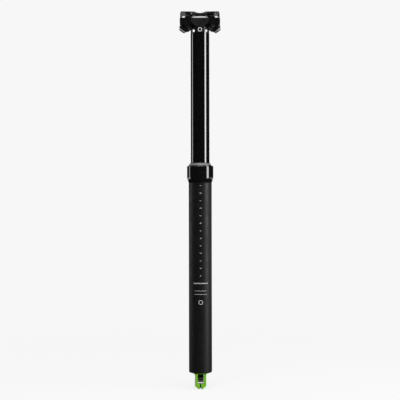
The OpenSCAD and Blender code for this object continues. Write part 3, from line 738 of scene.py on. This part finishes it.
def neck_disc():
    """A bare disc with a raised rim and a plain boss, in the round recess on the front of the neck."""
    bm = bmesh.new()
    points = [(0, DISC_HIGH), (DISC_BOSS_R, DISC_HIGH), (DISC_BOSS_R + DISC_SLOPE, DISC_LOW),
              (DISC_RING_R - DISC_SLOPE, DISC_LOW), (DISC_RING_R, DISC_HIGH), (DISC_R, DISC_HIGH),
              (DISC_R, 0.0)]
    profile_wire(bm, points, rounds=((1, 0.08), (4, 0.08), (5, 0.12)), closed=False)
    turn(bm, DISC_STEPS)
    for face in bm.faces:
        face.material_index = int(face.calc_center_median().xy.length < DISC_DARK_R * MM)
    place = Matrix.Translation((0, DISC_SEAT_Y * MM, DISC_LEVEL * MM))
    place = place @ Matrix.Rotation(math.pi / 2, 4, "X")
    bmesh.ops.transform(bm, matrix=place, verts=bm.verts)
    settle("neck_disc", bm, "upper", "alloy", disc_grey, disc_dark)


neck_disc()


# Graphics on the outer tube: a depth scale counted from the tube's foot, and plain hatching

PRINT_LIFT = 0.02
PRINT_SHIFT = 0.5
PRINT_STRIP = 0.5
TICK_DEPTHS = range(130, 251, 20)
TICK_X = -0.2
TICK_WIDTH = 1.9
TICK_TALL = 0.42
NUMBER_DEPTHS = range(140, 241, 20)
DIGIT_TALL = 1.25
DIGIT_SHARE = 0.7
DIGIT_STRIP = 0.3
DIGIT_STRIPS = 8
STROKES_LEVEL = -134.0
RULE_LEVELS = (-144.0, -148.6)
RING_LEVEL = -159.2
RING_OUTER_R = 2.9
RING_INNER_R = 2.35
RING_STEPS = 48


def wrap_on_tube(bm, height):
    """Bends flat print, drawn on X and Y about its own middle, round the front of the tube."""
    radius = (TUBE_R + PRINT_LIFT) * MM
    for vert in bm.verts:
        angle = (vert.co.x + PRINT_SHIFT * MM) / radius
        level = vert.co.y + height * MM
        vert.co = Vector((radius * math.sin(angle), -radius * math.cos(angle), level))


def bar(bm, x, width, tall):
    """A flat printed bar, cut into strips so that it can bend. The grid's size is half its side."""
    strips = max(2, int(width / PRINT_STRIP))
    made = bmesh.ops.create_grid(bm, x_segments=strips, y_segments=1, size=0.5)
    bmesh.ops.scale(bm, verts=made["verts"], vec=(width * MM, tall * MM, 1))
    bmesh.ops.translate(bm, verts=made["verts"], vec=(x * MM, 0, 0))


def row_of_bars(bm, each_side, pitch, width, tall):
    for step in range(-each_side, each_side + 1):
        bar(bm, step * pitch, width, tall)


def depth_tick(bm):
    bar(bm, TICK_X, TICK_WIDTH, TICK_TALL)


def depth_number(depth):
    """A drawing of one depth in plain digits, cut into strips so that it can bend."""
    def draw(bm):
        curve = bpy.data.curves.new("digits", "FONT")
        curve.body = str(depth)
        curve.size = DIGIT_TALL / DIGIT_SHARE * MM
        curve.align_x = "CENTER"
        curve.align_y = "CENTER"
        holder = bpy.data.objects.new("digits", curve)
        flat = bpy.data.meshes.new_from_object(holder)
        bm.from_mesh(flat)
        bpy.data.objects.remove(holder)
        bpy.data.curves.remove(curve)
        bpy.data.meshes.remove(flat)
        for step in range(-DIGIT_STRIPS, DIGIT_STRIPS + 1):
            cut_at(bm, step * DIGIT_STRIP)
    return draw


def limit_strokes(bm):
    """Upright strokes in a row, the usual sign for how deep a post must sit."""
    row_of_bars(bm, each_side=9, pitch=1.08, width=0.5, tall=1.4)


def limit_rule(bm):
    """A broken rule across the front of the tube."""
    row_of_bars(bm, each_side=6, pitch=1.3, width=0.8, tall=0.5)


def ring_mark(bm):
    """A plain printed ring."""
    for radius in (RING_OUTER_R, RING_INNER_R):
        bmesh.ops.create_circle(bm, segments=RING_STEPS, radius=radius * MM)
    bmesh.ops.bridge_loops(bm, edges=bm.edges[:])


def print_on_tube(name, items):
    """Items of print, each a drawing and the level of its middle, as one piece on the outer tube."""
    whole = bmesh.new()
    for draw, height in items:
        bm = bmesh.new()
        draw(bm)
        wrap_on_tube(bm, height)
        mesh = bpy.data.meshes.new("print")
        bm.to_mesh(mesh)
        bm.free()
        whole.from_mesh(mesh)
        bpy.data.meshes.remove(mesh)
    for face in whole.faces:
        face.normal_update()
        outwards = face.calc_center_median() * Vector((1, 1, 0))
        if face.normal.dot(outwards) < 0:
            face.normal_flip()
    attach(new_object(name, whole, white_print), "lower")


print_on_tube("depth_ticks_print", [(depth_tick, POST_END + depth) for depth in TICK_DEPTHS])
print_on_tube("depth_numbers_print", [(depth_number(depth), POST_END + depth) for depth in NUMBER_DEPTHS])
print_on_tube("insertion_limit_print", [(limit_strokes, STROKES_LEVEL), (limit_rule, RULE_LEVELS[0]),
                                        (limit_rule, RULE_LEVELS[1]), (ring_mark, RING_LEVEL)])


# Stage, in metres

FLOOR_Z = -0.2756
FLOOR_R = 6.0
FLOOR_STEPS = 96
PALE = (0.93, 0.93, 0.93, 1)
FILL = (0.45, 0.45, 0.45, 1)
CARD_BLACK = (0.004, 0.004, 0.004, 1)
CARD_R = 2.4
CARD_TOP = 2.7
CARD_BACK_R = 1.6
CARD_BACK_LOW = -0.1
CARD_LIFT = 0.0005
CARD_STEPS = 64


def seen_ray(tree):
    """Tells the camera's own rays, and those that it sees by reflection or through glass."""
    path = tree.nodes.new("ShaderNodeLightPath").outputs
    seen = maths(tree, "MAXIMUM", path["Is Camera Ray"], path["Is Glossy Ray"])
    return maths(tree, "MAXIMUM", seen, path["Is Transmission Ray"])


def colour_node(tree, kind, colour):
    node = tree.nodes.new(kind)
    node.inputs["Color"].default_value = colour
    return node.outputs[0]


def mixed_surface(tree, share, plain, glowing, end):
    """Two shaders mixed by a share, at the end of a material or the world."""
    mix = tree.nodes.new("ShaderNodeMixShader")
    wire(tree, share, mix.inputs[0])
    wire(tree, plain, mix.inputs[1])
    wire(tree, glowing, mix.inputs[2])
    wire(tree, mix.outputs[0], tree.nodes.new(end).inputs["Surface"])


def pale_floor_material():
    """Pale to the camera and in reflections, and keeps a soft shadow near the post."""
    material = bpy.data.materials.new("pale_floor")
    material.use_nodes = True
    tree = material.node_tree
    tree.nodes.clear()
    away = tree.nodes.new("ShaderNodeVectorMath")
    away.operation = "LENGTH"
    wire(tree, stretched(tree, object_place(tree), (1.0, 1.0, 0.0)), away.inputs[0])
    glow_share = spread(tree, away.outputs["Value"], low=0.3, high=0.8, to_low=0.85, to_high=1.0)
    matte = colour_node(tree, "ShaderNodeBsdfDiffuse", PALE)
    glow = colour_node(tree, "ShaderNodeEmission", PALE)
    share = maths(tree, "MULTIPLY", seen_ray(tree), glow_share)
    mixed_surface(tree, share, matte, glow, "ShaderNodeOutputMaterial")
    return material


def card_material():
    material = bpy.data.materials.new("black_card")
    material.use_nodes = True
    shader = material.node_tree.nodes["Principled BSDF"]
    shader.inputs["Base Color"].default_value = CARD_BLACK
    shader.inputs["Roughness"].default_value = 1.0
    shader.inputs["Specular IOR Level"].default_value = 0.0
    return material


def round_sheet(radius, steps, height):
    """A flat round sheet at a height."""
    bm = bmesh.new()
    bmesh.ops.create_circle(bm, cap_ends=True, segments=steps, radius=radius)
    bmesh.ops.translate(bm, verts=bm.verts, vec=(0, 0, height))
    return bm


def round_wall(low):
    """A round wall of card about the post."""
    bm = bmesh.new()
    bmesh.ops.create_cone(bm, cap_ends=False, segments=CARD_STEPS, radius1=CARD_R, radius2=CARD_R,
                          depth=CARD_TOP - low)
    bmesh.ops.translate(bm, verts=bm.verts, vec=(0, 0, (CARD_TOP + low) / 2))
    return bm


def black_card(name, bm, material, front):
    """Half of a black card, in front of the post or behind it, that only reflections see, as a
    studio sets round a glossy black object."""
    bmesh.ops.bisect_plane(bm, geom=bm.verts[:] + bm.edges[:] + bm.faces[:], plane_co=(0, 0, 0),
                           plane_no=(0, 1, 0), clear_outer=front, clear_inner=not front)
    piece = new_object(name, bm, material)
    piece.visible_camera = False
    piece.visible_diffuse = False
    piece.visible_shadow = False
    piece.visible_transmission = False


def floor_card(radius):
    return round_sheet(radius, CARD_STEPS, FLOOR_Z + CARD_LIFT)


new_object("floor", round_sheet(FLOOR_R, FLOOR_STEPS, FLOOR_Z), pale_floor_material())

card = card_material()
black_card("card_front", round_wall(FLOOR_Z), card, front=True)
black_card("card_back", round_wall(CARD_BACK_LOW), card, front=False)
black_card("card_floor_front", floor_card(CARD_R), card, front=True)
black_card("card_floor_back", floor_card(CARD_BACK_R), card, front=False)


def soft_light(name, bearing, height, distance, size, power):
    """An area lamp that faces the post. Bearing is degrees to the camera's right, seen from above."""
    data = bpy.data.lights.new(name, "AREA")
    data.shape = "RECTANGLE"
    data.size, data.size_y = size
    data.energy = power
    lamp = bpy.data.objects.new(name, data)
    scene.collection.objects.link(lamp)
    turned = math.radians(bearing)
    lamp.location = (distance * math.sin(turned), -distance * math.cos(turned), height)
    aim = -lamp.location
    lamp.rotation_euler = aim.to_track_quat("-Z", "Y").to_euler()


soft_light("strip_right", bearing=70, height=0.05, distance=1.5, size=(0.5, 1.5), power=20)
soft_light("strip_left", bearing=-108, height=0.05, distance=1.5, size=(0.3, 1.5), power=3.8)
soft_light("top_box", bearing=5, height=1.45, distance=0.72, size=(1.3, 0.7), power=20)

world = bpy.data.worlds.new("studio")
scene.world = world
world.use_nodes = True
world.node_tree.nodes.clear()
fill = colour_node(world.node_tree, "ShaderNodeBackground", FILL)
pale = colour_node(world.node_tree, "ShaderNodeBackground", PALE)
mixed_surface(world.node_tree, seen_ray(world.node_tree), fill, pale, "ShaderNodeOutputWorld")

scene.view_settings.view_transform = "Standard"

# Camera, level with a point just below the collar, with the photograph's slight roll

camera_data = bpy.data.cameras.new("camera")
camera_data.sensor_width = 36.0
camera_data.lens = 104.6
camera = bpy.data.objects.new("camera", camera_data)
scene.collection.objects.link(camera)
camera.location = (-0.0003, -1.56, -0.02304)
camera.rotation_euler = (math.radians(90), math.radians(0.105), 0)
scene.camera = camera
